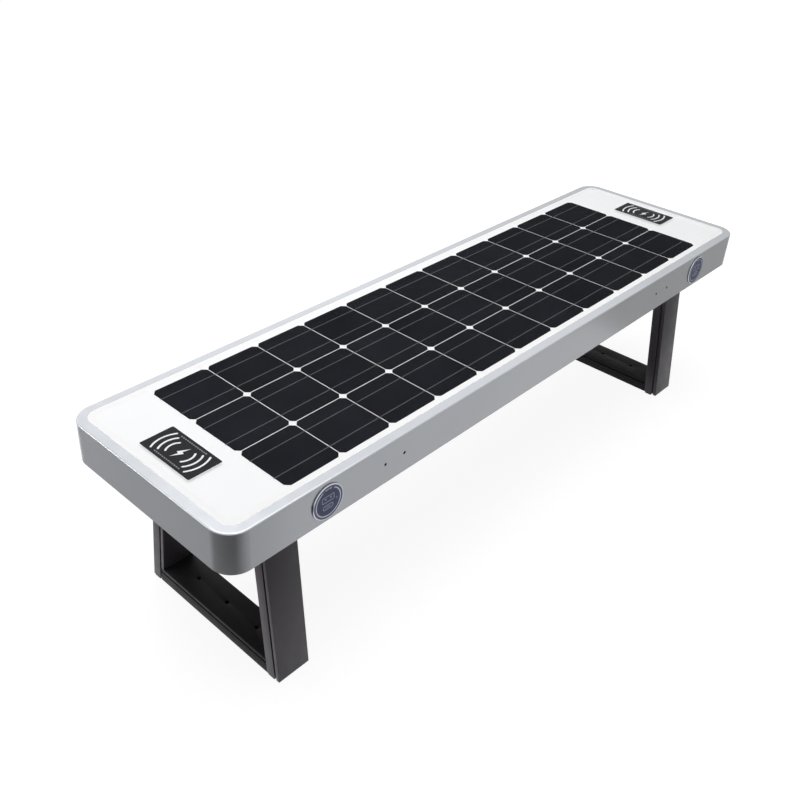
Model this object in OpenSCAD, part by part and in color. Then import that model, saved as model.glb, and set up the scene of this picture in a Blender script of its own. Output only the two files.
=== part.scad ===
// Solar charging bench: a solar panel seat on two splayed frames, with charging spots and ports.
// Millimetres. +X runs along the seat, -Y is the front with the ports, +Z is up.
// The origin is on the ground, under the middle of the whole bench.

/* [Seat] */
// Length of the seat
seat_len = 1700; // [1690:5:1900]
// Depth of the seat from front wall to rear wall
seat_depth = 452; // [440:2:520]
// Height of the sitting surface above the ground
seat_top = 450; // [420:5:500]
// Height of the side walls
side_h = 85; // [84:1:110]
// Radius of the seat's upright corners
corner_r = 44; // [40:1:60]
// Thickness of the shell's sheet metal
sheet = 2.5; // [2:0.5:3]
// Width of the rim round the panel
rim_w = 19.5; // [18:0.5:22]
// Rounding along the rim's outer edge
rim_round = 3; // [2:0.5:3]
// Width of the ledge that carries the panel
ledge_w = 15; // [12:1:16]
// Width of the lip turned in along the foot of the walls
lip_w = 18; // [16:1:24]

/* [Panel] */
// Height of the glass above the rim
panel_stand = 1; // [0.5:0.5:2]
// Gap between the panel and the rim
panel_gap = 0.8; // [0.5:0.1:1.5]
// Thickness of the glass
glass_t = 4.2; // [3:0.1:5]
// Thickness of a cell
cell_t = 0.6; // [0.4:0.1:0.8]
// Thickness of the white backsheet
backsheet_t = 2; // [1:0.5:3]
// Thickness of the seal under the panel
seal_t = 1; // [0.5:0.5:2]
// Width of the seal under the panel
seal_w = 12; // [8:1:14]
// Cells along the seat
cell_cols = 11; // [9:1:11]
// Cells across the seat
cell_rows = 3; // [2:1:3]
// Side of a cell
cell = 125; // [120:0.5:125.5]
// Gap between cells
cell_gap = 1.5; // [1:0.1:2.5]
// Radius of the wafer that rounds off a cell's corners
wafer_r = 82.5; // [80:0.5:85]
// Width of a cell ribbon
ribbon_w = 1.6; // [1:0.1:2.5]
// Thickness of a cell ribbon
ribbon_t = 0.2; // [0.1:0.1:0.3]
// Distance of each ribbon from the middle of its cell row
ribbon_off = 31; // [25:1:36]
// Thickness of the deck board
deck_t = 12; // [10:1:15]
// Gap between the deck board and the ledge
deck_gap = 1.5; // [1:0.5:3]

/* [Beams] */
// Distance of each leg frame's middle from the seat's end
leg_inset = 160; // [155:1:180]
// Distance from a leg frame's middle to the support beam beside it
support_gap = 217; // [200:1:240]
// Width of a leg beam
leg_beam_w = 80; // [76:1:90]
// Width of the other beams
beam_w = 36; // [30:1:40]
// Thickness of the beams' metal
beam_t = 3; // [2:0.5:4]
// Gap between a beam's end and the wall
beam_gap = 0.3; // [0.2:0.1:0.5]
// Width of the plate on each end of a support beam
end_plate_w = 74; // [70:1:90]
// Height of the plate on each end of a support beam
end_plate_h = 46; // [30:1:50]
// Distance between the two inserts of a pair
insert_pitch = 50; // [46:1:54]
// Radius of an insert's open hole
insert_bore_r = 2.3; // [2:0.1:2.5]
// Outer radius of an insert
insert_r = 3.2; // [3:0.1:3.5]
// Length of an insert
insert_len = 12; // [10:1:16]

/* [Cover] */
// Thickness of the bottom cover
cover_t = 1.5; // [1:0.5:2.5]
// Distance of the cover's edge from the outer wall face
cover_inset = 6; // [4:1:8]
// Shank radius of the small screws
screw_r = 2; // [1.5:0.25:2.5]
// Length of the small screws
screw_len = 7; // [5:0.5:7]
// Distance of the cover screws from the outer wall face
screw_inset = 12; // [10:0.5:13]

/* [Charging spots] */
// Distance of each label's middle from the seat's end
label_inset = 82; // [78:1:84]
// Width of a label along the seat
label_w = 71.5; // [60:0.5:76]
// Length of a label across the seat
label_len = 139; // [120:1:145]
// Thickness of a label
label_t = 0.3; // [0.2:0.1:0.5]
// Corner radius of a label
label_r = 3; // [1:0.5:6]
// Width of a tray along the seat
tray_w = 64; // [62:1:66]
// Length of a tray across the seat
tray_len = 124; // [110:1:130]
// Depth of a tray
tray_h = 22; // [20:1:24]
// Thickness of a tray's walls
tray_t = 2; // [1.5:0.5:2.5]
// Width of the flange round a tray's mouth
tray_flange = 4; // [3:0.5:5]
// Outer radius of the coil
coil_r = 24; // [20:1:26]
// Thickness of the coil
coil_t = 1.4; // [1:0.1:2]

/* [Charging ports] */
// Distance of each port's middle from the seat's end
port_inset = 210; // [205:1:230]
// Outer radius of a port's bezel
port_r = 35; // [33:0.5:36]
// Height of a bezel's face over the wall
port_stand = 3; // [2.8:0.1:4]
// Thickness of the gasket behind a bezel
gasket_t = 1.2; // [0.8:0.1:1.4]
// Width of the bevel round a bezel's face
bezel_bevel = 0.9; // [0.5:0.1:1.2]
// Distance of the groove in a bezel's face from its edge
bezel_groove_in = 2.3; // [1.8:0.1:2.5]
// Width of the groove in a bezel's face
bezel_groove_w = 0.8; // [0.4:0.1:1]
// Depth of the groove in a bezel's face
bezel_groove_depth = 0.5; // [0.3:0.1:0.8]
// Radius of the recess that a cap closes
recess_r = 29.3; // [28.8:0.1:29.4]
// Outer radius of the threaded sleeve
sleeve_r = 30.4; // [30.2:0.1:30.6]
// Length of the sleeve behind the wall's outer face
sleeve_len = 22; // [18:1:24]
// Radius of the sleeve's bore
bore_r = 28.2; // [27.5:0.1:28.2]
// Depth of the socket core behind the wall's outer face
core_len = 30; // [28:1:32]
// Height of a nut
nut_h = 7; // [5:0.5:9]
// Thickness of a cap
cap_t = 2.6; // [2.4:0.1:2.7]
// Gap round a cap
cap_gap = 0.4; // [0.3:0.1:0.5]
// Radius of the shallow dish in a cap's face
dish_r = 25; // [22:0.1:25]
// Depth of the dish in a cap's face
dish_depth = 0.4; // [0.2:0.1:0.6]
// Radius of a cap's hinge pin
hinge_pin_r = 0.8; // [0.6:0.1:0.9]
// Width of the wide charging slot
slot_w = 12.6; // [12.4:0.1:13]
// Height of the wide charging slot
slot_h = 5.4; // [5:0.1:5.6]
// Depth of the wide charging slot
slot_depth = 14; // [12:1:16]
// Width of the small charging slot
small_slot_w = 8.8; // [8.6:0.1:9.2]
// Height of the small charging slot
small_slot_h = 2.8; // [2.6:0.1:3]
// Depth of the small charging slot
small_slot_depth = 10; // [8:1:12]
// Distance of each slot from the core's middle
slot_off = 8; // [7:0.5:12]

/* [Leg frames] */
// Width of the extruded section along the seat
leg_w = 74.5; // [66:0.5:76]
// Thickness of the extruded section
leg_t = 34; // [30:0.5:38]
// Thickness of the section's snap-on cover
cap_strip_t = 8; // [7:0.5:10]
// Width of the groove between section and cover
groove_w = 4.5; // [3:0.5:6]
// Depth of the groove
groove_depth = 5; // [3:0.5:8]
// Wall thickness of the section
leg_wall = 2.5; // [2:0.5:3]
// Distance from the seat's middle to a frame's outer face at its foot
foot_out = 196; // [185:1:210]
// The same distance where the frame meets the seat
head_out = 158; // [150:1:170]
// Height of the foot pads under the frames
pad_h = 4; // [3:1:8]
// Depth of a foot pad from front to rear
pad_depth = 17.6; // [17:0.1:20]
// Height of the plug on a foot pad
plug_h = 12; // [8:1:20]
// Clearance round a foot pad's plug
plug_gap = 0.4; // [0.2:0.1:1]
// Thickness of the plate on top of a frame
top_plate_t = 8; // [6:1:10]
// Radius of the floor anchor holes
anchor_r = 4.5; // [4:0.5:6]
// Distance between floor anchor holes
anchor_pitch = 90; // [70:1:95]
// Shank radius of the leg bolts
bolt_r = 4; // [3:0.5:5]
// Clearance round the leg bolts' shanks
bolt_gap = 0.5; // [0.3:0.1:0.8]
// Distance between the leg bolts along the seat
bolt_pitch_x = 40; // [36:1:44]
// Distance between the leg bolts across the seat
bolt_pitch_y = 190; // [150:2:200]

/* [Electrics] */
// Length of the battery along the seat
battery_len = 220; // [180:5:230]
// Depth of the battery
battery_depth = 160; // [120:5:180]
// Height of the battery
battery_h = 56; // [40:1:58]
// Gap between the battery and the centre beam
battery_gap = 12; // [8:1:20]
// Width of the battery strap
strap_w = 30; // [20:1:40]
// Thickness of the battery strap
strap_t = 2; // [1:0.5:3]
// Length of the charge controller along the seat
controller_len = 100; // [80:5:105]
// Depth of the charge controller
controller_depth = 130; // [100:5:140]
// Height of the charge controller
controller_h = 34; // [25:1:45]
// Gap between the charge controller and the support beam
controller_gap = 12; // [8:1:20]
// Length of the power converter along the seat
converter_len = 80; // [60:5:90]
// Depth of the power converter
converter_depth = 56; // [40:2:60]
// Height of the power converter
converter_h = 24; // [18:1:30]
// Length of the junction box along the seat
jbox_len = 90; // [70:5:100]
// Depth of the junction box
jbox_depth = 60; // [50:5:70]
// Height of the junction box
jbox_h = 20; // [14:1:22]
// Radius of the wiring loom
loom_r = 4.5; // [3:0.5:5]
// Distance of the loom's trunk from the seat's middle, towards the rear
loom_y = 150; // [145:1:160]
// Height of the loom's trunk above the seat's foot
loom_rise = 20; // [16:1:26]
// Radius of the holes for the loom
loom_hole_r = 9; // [8:0.5:10]

/* [Hidden] */
$fn = 64;

// Heights above the ground
rim_top = seat_top - panel_stand;
seat_foot = rim_top - side_h;
glass_z = seat_top - glass_t;
ribbon_z = glass_z - ribbon_t;
cell_z = ribbon_z - cell_t;
backsheet_z = cell_z - backsheet_t;
ledge_top = backsheet_z - seal_t;
deck_z = backsheet_z - deck_t;
cover_z = seat_foot - cover_t;
plate_z = cover_z - top_plate_t;
port_z = (seat_foot + rim_top) / 2;

// Places along the seat, counted from its middle
leg_x = seat_len / 2 - leg_inset;
support_x = leg_x - support_gap;
port_x = seat_len / 2 - port_inset;
label_x = seat_len / 2 - label_inset;

// The bezels stand proud of the front wall, so the seat sits half that far behind the whole bench's middle
seat_shift = port_stand / 2;

// Panel
panel_len = seat_len - 2 * (rim_w + panel_gap);
panel_depth = seat_depth - 2 * (rim_w + panel_gap);
panel_r = corner_r - rim_w - panel_gap;
cell_pitch = cell + cell_gap;
ribbon_len = cell_cols * cell_pitch + cell_gap;
seal_inset = 1;
deck_edge = rim_w + ledge_w + deck_gap;
jbox_x = -support_x / 2;
jbox_y = 90;
jbox_gap = 2;

// Beams
beam_len = seat_depth - 2 * (sheet + beam_gap);
beam_h = deck_z - seat_foot;
lip_edge = seat_depth / 2 - lip_w;
insert_gap = 0.1;
flare_r = insert_r + 1.4;
flare_len = 2;

// Bottom cover screws, between the beams
bay_x = (support_x + leg_x) / 2;
end_x = leg_x + (leg_beam_w + label_inset) / 2;
screw_x = [support_x / 3, support_x * 2 / 3, bay_x, end_x];
screw_y = seat_depth / 4;
screw_head_r = screw_r * 2;
screw_head_h = screw_r * 0.9;
screw_gap = 0.2;

// Charging spots
tray_z = backsheet_z - tray_h;
tray_gap = 2;
board_t = 1.6;
board_z = tray_z + tray_t + 5;
board_edge = 2;
ferrite_t = 1.5;
coil_air = 0.3;
ferrite_z = backsheet_z - coil_air - coil_t - ferrite_t;
ferrite_side = 2 * coil_r + 6;
coil_hole_r = coil_r * 0.4;
post_r = 2.5;
shoulder_r = 4;
post_x = coil_r - 2;
post_gap = 0.5;

// Charging ports, in a frame on the wall: x along the seat, y up, z out of the wall
shoulder_z = port_stand - cap_t - 0.6;
cap_seal_t = 0.5;
cap_r = recess_r - cap_gap;
barrel_r = cap_t / 2;
hinge_y = cap_r - 2.3;
hinge_z = port_stand - cap_t / 2;
hinge_fit = 0.06;
lug_fit = 0.05;
barrel_half = 7;
lug_gap = 0.2;
lug_w = 3;
lug_foot = hinge_y - barrel_r;
lug_step_y = hinge_y - barrel_r / 2;
lug_step_z = hinge_z + 0.7;
cap_head = lug_foot - 0.3;
cap_head_half = sqrt(cap_r * cap_r - cap_head * cap_head) - 1.3;
cap_head_foot = cap_head - 0.3 * (cap_r - cap_head_half);
sleeve_gap = 0.3;
core_r = bore_r - 0.2;
core_front = shoulder_z - 0.4;
core_flange_r = sleeve_r - 0.4;
core_flange_t = 2.5;
nut_r = port_r + 1;
nut_gap = 0.2;
gland_r = 6;
gland_len = 6;
port_room = 4;

// Leg frames
lean = (foot_out - head_out) / (seat_foot - pad_h);
bar_top = pad_h + leg_t;
body_t = leg_t - cap_strip_t - groove_w;
neck_w = leg_w - 2 * groove_depth;
plate_half = foot_out - lean * (plate_z - pad_h);
bolt_head_r = bolt_r * 1.6;
bolt_head_h = bolt_r * 2;
bolt_nut_h = bolt_r * 1.6;
bolt_nut_r = bolt_r * 1.9;

// Electrics
battery_x = beam_w / 2 + battery_gap + battery_len / 2;
battery_y = -20;
strap_foot = 18;
strap_gap = 0.5;
controller_x = support_x - beam_w / 2 - controller_gap - controller_len / 2;
controller_y = -75;
converter_y = 45;
loom_z = seat_foot + loom_rise;
loom_bend = 12;
boot_r = loom_r * 1.25;
boot_len = 12;
grommet_t = 2;
grommet_gap = 0.1;
grommet_lip = 3;
loom_bend_y = core_len + gland_len + loom_bend;
bend_y = loom_bend_y - seat_depth / 2;

// Shared shapes and places

module in_frame() {
    translate([0, seat_shift, 0]) children();
}

// What is drawn for the right end, or its mirror image for the left end
module on_side(side) {
    in_frame() mirror([side < 0 ? 1 : 0, 0, 0]) children();
}

module rounded_plate(l, w, r, h) {
    linear_extrude(h) {
        square([l - 2 * r, w], center = true);
        square([l, w - 2 * r], center = true);
        for (x = [-1, 1], y = [-1, 1]) {
            translate([x * (l / 2 - r), y * (w / 2 - r)]) circle(r = r);
        }
    }
}

module block(x, y, z, size) {
    translate([x - size[0] / 2, y - size[1] / 2, z]) cube(size);
}

module ring(r_out, r_in, h) {
    difference() {
        cylinder(r = r_out, h = h);
        translate([0, 0, -1]) cylinder(r = r_in, h = h + 2);
    }
}

// Sweeps a section, drawn as distance in from the wall and height, round the seat's outline
module sweep_outline() {
    for (k = [0:3]) {
        l = k % 2 == 0 ? seat_len : seat_depth;
        d = k % 2 == 0 ? seat_depth : seat_len;
        rotate([0, 0, 90 * k]) {
            translate([-(l / 2 - corner_r), -d / 2, 0])
                rotate([90, 0, 90]) linear_extrude(l - 2 * corner_r) children();
            translate([l / 2 - corner_r, -(d / 2 - corner_r), 0])
                rotate([0, 0, -90]) rotate_extrude(angle = 90)
                    translate([corner_r, 0]) mirror([1, 0]) children();
        }
    }
}

module at_port() {
    translate([port_x, -seat_depth / 2, port_z]) rotate([90, 0, 0]) children();
}

// Each insert's place on the front and rear walls, with z out of the wall
module at_inserts() {
    for (wall = [0, 180], end = [-1, 1], off = [-0.5, 0.5]) {
        in_frame() rotate([0, 0, wall])
            translate([end * support_x + off * insert_pitch, -seat_depth / 2, port_z])
                rotate([90, 0, 0]) children();
    }
}

// Seat

module shell_section() {
    difference() {
        polygon([
            [0, seat_foot], [lip_w, seat_foot], [lip_w, seat_foot + sheet], [sheet, seat_foot + sheet],
            [sheet, rim_top - sheet], [rim_w - sheet, rim_top - sheet], [rim_w - sheet, ledge_top - sheet],
            [rim_w + ledge_w, ledge_top - sheet], [rim_w + ledge_w, ledge_top], [rim_w, ledge_top],
            [rim_w, rim_top], [0, rim_top]
        ]);
        difference() {
            translate([-1, rim_top - rim_round]) square(rim_round + 1);
            translate([rim_round, rim_top - rim_round]) circle(r = rim_round);
        }
    }
}

module seat_shell() {
    color([0.72, 0.74, 0.76]) difference() {
        in_frame() sweep_outline() shell_section();
        for (side = [-1, 1]) {
            on_side(side) at_port()
                translate([0, 0, -sheet - 1]) cylinder(r = sleeve_r + sleeve_gap, h = sheet + 2);
        }
        at_inserts() translate([0, 0, -sheet - 1]) cylinder(r = insert_r + insert_gap, h = sheet + 2);
        at_cover_screws() cylinder(r = screw_r + screw_gap, h = screw_len);
    }
}

module glass_sheet() {
    color([0.9, 0.95, 0.97, 0.35]) in_frame()
        translate([0, 0, glass_z]) rounded_plate(panel_len, panel_depth, panel_r, glass_t);
}

module solar_cells() {
    color([0.1, 0.1, 0.13]) in_frame() for (i = [0:cell_cols - 1], j = [0:cell_rows - 1]) {
        translate([(i - (cell_cols - 1) / 2) * cell_pitch, (j - (cell_rows - 1) / 2) * cell_pitch, cell_z])
            linear_extrude(cell_t) intersection() {
                square(cell, center = true);
                circle(r = wafer_r);
            }
    }
}

module cell_ribbons() {
    color([0.6, 0.6, 0.62]) in_frame() for (j = [0:cell_rows - 1], off = [-ribbon_off, ribbon_off]) {
        block(0, (j - (cell_rows - 1) / 2) * cell_pitch + off, ribbon_z, [ribbon_len, ribbon_w, ribbon_t]);
    }
}

module backsheet() {
    color([0.95, 0.95, 0.95]) in_frame()
        translate([0, 0, backsheet_z]) rounded_plate(panel_len, panel_depth, panel_r, backsheet_t);
}

module panel_inset(inset, h) {
    rounded_plate(panel_len - 2 * inset, panel_depth - 2 * inset, panel_r - inset, h);
}

module panel_seal() {
    color([0.15, 0.15, 0.15]) in_frame() translate([0, 0, ledge_top]) difference() {
        panel_inset(seal_inset, seal_t);
        translate([0, 0, -1]) panel_inset(seal_inset + seal_w, seal_t + 2);
    }
}

// A block as wide and as long as a tray, and larger by a margin on each side
module tray_block(margin, z, h) {
    block(label_x, 0, z, [tray_w + 2 * margin, tray_len + 2 * margin, h]);
}

module deck_board() {
    color([0.55, 0.45, 0.33]) difference() {
        in_frame() translate([0, 0, deck_z]) rounded_plate(
            seat_len - 2 * deck_edge, seat_depth - 2 * deck_edge, corner_r - deck_edge, deck_t);
        for (side = [-1, 1]) {
            on_side(side) {
                tray_block(tray_gap, deck_z - 1, deck_t + 2);
                tray_block(tray_gap + tray_flange, backsheet_z - tray_t, tray_t + 1);
            }
        }
        in_frame() block(jbox_x, jbox_y, deck_z - 1,
            [jbox_len + 2 * jbox_gap, jbox_depth + 2 * jbox_gap, deck_t + 2]);
    }
}

// Channel beam across the seat, its ends notched over the shell's lip
module beam(w) {
    difference() {
        block(0, 0, seat_foot, [w, beam_len, beam_h]);
        block(beam_t, 0, seat_foot + beam_t, [w, beam_len + 2, beam_h - 2 * beam_t]);
        for (s = [-1, 1]) {
            block(0, s * (lip_edge + lip_w / 2), seat_foot - 1, [w + 2, lip_w + 1, sheet + 1]);
        }
        translate([-w / 2 - 1, loom_y, loom_z]) rotate([0, 90, 0]) cylinder(r = loom_hole_r, h = beam_t + 2);
    }
}

// The leg beam's web is on its outer side, and its flanges are cut away round the port
module leg_beam() {
    color([0.7, 0.71, 0.72]) difference() {
        translate([leg_x, 0, 0]) mirror([1, 0, 0]) beam(leg_beam_w);
        at_leg_bolts() translate([0, 0, seat_foot - 1]) cylinder(r = bolt_r + bolt_gap, h = beam_t + 2);
        translate([port_x - nut_r, -seat_depth / 2, seat_foot - 1])
            cube([2 * nut_r + port_room, loom_bend_y + 2 * loom_r, beam_h + 2]);
    }
}

module support_beam() {
    plate_y = beam_len / 2 - beam_t / 2;
    color([0.7, 0.71, 0.72]) translate([support_x, 0, 0]) difference() {
        union() {
            beam(beam_w);
            for (s = [-1, 1]) {
                block(0, s * plate_y, port_z - end_plate_h / 2, [end_plate_w, beam_t, end_plate_h]);
            }
        }
        for (off = [-0.5, 0.5]) {
            translate([off * insert_pitch, -beam_len, port_z])
                rotate([-90, 0, 0]) cylinder(r = insert_r + insert_gap, h = 2 * beam_len);
        }
    }
}

module left_leg_beam() {
    on_side(-1) leg_beam();
}

module right_leg_beam() {
    on_side(1) leg_beam();
}

module left_support_beam() {
    on_side(-1) support_beam();
}

module right_support_beam() {
    on_side(1) support_beam();
}

module centre_beam() {
    color([0.7, 0.71, 0.72]) in_frame() beam(beam_w);
}

// Each insert clamps the wall to a support beam's end plate and leaves a threaded hole
module side_inserts() {
    flare_z = -(sheet + beam_gap + beam_t);
    color([0.3, 0.3, 0.31]) at_inserts() difference() {
        union() {
            translate([0, 0, -insert_len]) cylinder(r = insert_r, h = insert_len);
            translate([0, 0, flare_z - flare_len]) cylinder(r = flare_r, h = flare_len);
        }
        translate([0, 0, -insert_len - 1]) cylinder(r = insert_bore_r, h = insert_len + 2);
    }
}

// Each cover screw's place: its axis, with z = 0 at the cover's lower face
module at_cover_screws() {
    in_frame() translate([0, 0, cover_z]) for (end = [-1, 1], s = [-1, 1]) {
        for (x = screw_x) {
            translate([end * x, s * (seat_depth / 2 - screw_inset), 0]) children();
        }
        translate([end * (seat_len / 2 - screw_inset), s * screw_y, 0]) children();
    }
}

module bottom_cover() {
    color([0.62, 0.63, 0.64]) difference() {
        in_frame() translate([0, 0, cover_z]) rounded_plate(
            seat_len - 2 * cover_inset, seat_depth - 2 * cover_inset, corner_r - cover_inset, cover_t);
        at_cover_screws() translate([0, 0, -1]) cylinder(r = screw_r + screw_gap, h = cover_t + 2);
        for (side = [-1, 1]) {
            on_side(side) at_leg_bolts()
                translate([0, 0, cover_z - 1]) cylinder(r = bolt_r + bolt_gap, h = cover_t + 2);
        }
    }
}

module cover_screws() {
    color([0.5, 0.5, 0.5]) at_cover_screws() difference() {
        union() {
            cylinder(r = screw_r, h = screw_len);
            translate([0, 0, -screw_head_h]) cylinder(r = screw_head_r, h = screw_head_h);
        }
        translate([0, 0, -screw_head_h - 1]) cylinder(r = screw_r, h = 1 + screw_head_h / 2, $fn = 6);
    }
}

// Electrics, most of them standing on the bottom cover

module junction_box() {
    color([0.12, 0.12, 0.12]) in_frame()
        block(jbox_x, jbox_y, backsheet_z - jbox_h, [jbox_len, jbox_depth, jbox_h]);
}

module battery() {
    color([0.16, 0.2, 0.3]) in_frame()
        block(battery_x, battery_y, seat_foot, [battery_len, battery_depth, battery_h]);
}

module battery_strap() {
    inner = battery_depth + 2 * strap_gap;
    outer = inner + 2 * strap_t;
    color([0.6, 0.6, 0.62]) in_frame() difference() {
        union() {
            block(battery_x, battery_y, seat_foot, [strap_w, outer, battery_h + strap_gap + strap_t]);
            block(battery_x, battery_y, seat_foot, [strap_w, outer + 2 * strap_foot, strap_t]);
        }
        block(battery_x, battery_y, seat_foot - 1, [strap_w + 2, inner, battery_h + strap_gap + 1]);
    }
}

module charge_controller() {
    color([0.25, 0.35, 0.5]) in_frame()
        block(controller_x, controller_y, seat_foot, [controller_len, controller_depth, controller_h]);
}

module power_converter() {
    color([0.2, 0.2, 0.2]) in_frame()
        block(controller_x, converter_y, seat_foot, [converter_len, converter_depth, converter_h]);
}

// A straight stretch of cable from a to b
module cable(a, b) {
    d = b - a;
    translate(a) rotate([0, acos(d[2] / norm(d)), atan2(d[1], d[0])]) cylinder(r = loom_r, h = norm(d));
}

// A short sleeve along the seat, over a fork or a bend
module boot(p) {
    translate(p) rotate([0, 90, 0]) cylinder(r = boot_r, h = boot_len, center = true);
}

// A cable through the points, with a boot over each of them but the last
module loom_branch(points) {
    for (i = [0:len(points) - 2]) {
        cable(points[i], points[i + 1]);
        boot(points[i]);
    }
}

module wiring_loom() {
    battery_end = battery_y + battery_depth / 2;
    color([0.1, 0.1, 0.1]) in_frame() {
        cable([-label_x, loom_y, loom_z], [label_x, loom_y, loom_z]);
        for (s = [-1, 1]) {
            loom_branch([
                [s * label_x, loom_y, loom_z], [s * label_x, 0, loom_z], [s * label_x, 0, tray_z]
            ]);
            loom_branch([
                [s * port_x, loom_y, loom_z], [s * port_x, bend_y, loom_z],
                [s * port_x, bend_y, port_z], [s * port_x, bend_y - loom_bend, port_z]
            ]);
        }
        loom_branch([
            [jbox_x, loom_y, loom_z], [jbox_x, jbox_y, loom_z], [jbox_x, jbox_y, backsheet_z - jbox_h]
        ]);
        loom_branch([[battery_x - strap_w, loom_y, loom_z], [battery_x - strap_w, battery_end, loom_z]]);
        loom_branch([
            [controller_x, loom_y, loom_z], [controller_x, converter_y + converter_depth / 2, loom_z]
        ]);
        cable(
            [controller_x, controller_y + controller_depth / 2, loom_z],
            [controller_x, converter_y - converter_depth / 2, loom_z]);
    }
}

module grommet() {
    rotate([0, 90, 0]) difference() {
        union() {
            cylinder(r = loom_hole_r - grommet_gap, h = beam_t + 2 * grommet_t, center = true);
            for (s = [-1, 1]) {
                translate([0, 0, s * (beam_t + grommet_t) / 2])
                    cylinder(r = loom_hole_r + grommet_lip, h = grommet_t, center = true);
            }
        }
        cylinder(r = loom_r + grommet_gap, h = beam_t + 3 * grommet_t, center = true);
    }
}

module loom_grommets() {
    web_x = beam_w / 2 - beam_t / 2;
    color([0.08, 0.08, 0.08]) {
        in_frame() translate([-web_x, loom_y, loom_z]) grommet();
        for (side = [-1, 1]) {
            on_side(side) {
                translate([support_x - web_x, loom_y, loom_z]) grommet();
                translate([leg_x + leg_beam_w / 2 - beam_t / 2, loom_y, loom_z]) grommet();
            }
        }
    }
}

// Charging spots

module label() {
    color([0.2, 0.2, 0.22]) translate([label_x, 0, seat_top])
        rounded_plate(label_w, label_len, label_r, label_t);
}

// Places of the four posts in a tray
module at_posts() {
    for (x = [-1, 1], y = [-1, 1]) {
        translate([label_x + x * post_x, y * post_x, 0]) children();
    }
}

// Tray let into the deck board, with stepped posts that carry the board and the coil
module tray() {
    color([0.85, 0.85, 0.85]) {
        difference() {
            union() {
                tray_block(0, tray_z, tray_h);
                tray_block(tray_flange, backsheet_z - tray_t, tray_t);
            }
            tray_block(-tray_t, tray_z + tray_t, tray_h);
        }
        at_posts() translate([0, 0, tray_z]) {
            cylinder(r = shoulder_r, h = board_z - tray_z);
            cylinder(r = post_r, h = ferrite_z - tray_z);
        }
    }
}

module coil() {
    color([0.72, 0.42, 0.22]) translate([label_x, 0, ferrite_z]) {
        block(0, 0, 0, [ferrite_side, ferrite_side, ferrite_t]);
        translate([0, 0, ferrite_t]) ring(coil_r, coil_hole_r, coil_t);
    }
}

module board() {
    color([0.1, 0.35, 0.2]) difference() {
        tray_block(-tray_t - board_edge, board_z, board_t);
        at_posts() translate([0, 0, board_z - 1]) cylinder(r = post_r + post_gap, h = board_t + 2);
    }
}

module left_label() {
    on_side(-1) label();
}

module right_label() {
    on_side(1) label();
}

module left_tray() {
    on_side(-1) tray();
}

module right_tray() {
    on_side(1) tray();
}

module left_coil() {
    on_side(-1) coil();
}

module right_coil() {
    on_side(1) coil();
}

module left_board() {
    on_side(-1) board();
}

module right_board() {
    on_side(1) board();
}

// Charging ports, drawn in the wall's frame

// Outline of the recess: a circle with a flat head, less the two lugs that hold the hinge pin
module recess_outline(foot) {
    difference() {
        intersection() {
            circle(r = recess_r);
            translate([-recess_r, -recess_r]) square([2 * recess_r, recess_r + hinge_y + barrel_r + 0.3]);
        }
        for (s = [-1, 1]) {
            translate([s * (barrel_half + lug_gap + recess_r / 2), foot + recess_r / 2])
                square(recess_r, center = true);
        }
    }
}

module bezel() {
    face_t = port_stand - gasket_t;
    color([0.68, 0.7, 0.75]) at_port() difference() {
        union() {
            translate([0, 0, gasket_t]) cylinder(r = port_r, h = face_t - bezel_bevel);
            translate([0, 0, port_stand - bezel_bevel])
                cylinder(r1 = port_r, r2 = port_r - bezel_bevel, h = bezel_bevel);
            translate([0, 0, -sleeve_len]) cylinder(r = sleeve_r, h = sleeve_len + gasket_t + 0.5);
        }
        translate([0, 0, -sleeve_len - 1]) cylinder(r = bore_r, h = sleeve_len + 1 + shoulder_z);
        translate([0, 0, shoulder_z]) linear_extrude(port_stand - shoulder_z + 1) recess_outline(lug_foot);
        // The lugs' front edge is stepped back, so the cap's head clears it as it swings
        translate([0, 0, lug_step_z]) linear_extrude(port_stand) recess_outline(lug_step_y);
        translate([0, hinge_y, hinge_z]) rotate([0, 90, 0])
            cylinder(r = hinge_pin_r + lug_fit, h = 2 * (barrel_half + lug_gap + lug_w), center = true);
        translate([0, 0, port_stand - bezel_groove_depth])
            ring(port_r - bezel_groove_in, port_r - bezel_groove_in - bezel_groove_w, port_stand);
    }
}

module gasket() {
    at_port() ring(port_r - 0.2, sleeve_r + sleeve_gap, gasket_t);
}

// Round nut with spanner notches, tightened against the wall's inner face
module port_nut() {
    at_port() translate([0, 0, -sheet - nut_h]) difference() {
        ring(nut_r, sleeve_r + nut_gap, nut_h);
        for (a = [0:60:300]) {
            rotate([0, 0, a]) translate([nut_r, 0, nut_h / 2]) cube([4, 6, nut_h + 2], center = true);
        }
    }
}

module socket_core() {
    color([0.12, 0.12, 0.14]) at_port() difference() {
        union() {
            translate([0, 0, -core_len]) cylinder(r = core_r, h = core_len + core_front);
            translate([0, 0, -sleeve_len - core_flange_t]) cylinder(r = core_flange_r, h = core_flange_t);
            translate([0, 0, -core_len - gland_len]) cylinder(r = gland_r, h = gland_len);
        }
        block(0, slot_off, core_front - slot_depth, [slot_w, slot_h, slot_depth + 1]);
        translate([0, -slot_off, core_front - small_slot_depth]) linear_extrude(small_slot_depth + 1) {
            square([small_slot_w - small_slot_h, small_slot_h], center = true);
            for (s = [-1, 1]) {
                translate([s * (small_slot_w - small_slot_h) / 2, 0]) circle(d = small_slot_h);
            }
        }
    }
}

// A circle with a flat head, whose corners are cut back to stay clear of the recess as the cap swings
module cap_outline() {
    intersection() {
        circle(r = cap_r);
        polygon([
            [-cap_r, -cap_r], [cap_r, -cap_r], [cap_r, cap_head_foot], [cap_head_half, cap_head],
            [-cap_head_half, cap_head], [-cap_r, cap_head_foot]
        ]);
    }
    translate([-barrel_half, 0]) square([2 * barrel_half, hinge_y]);
}

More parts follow.
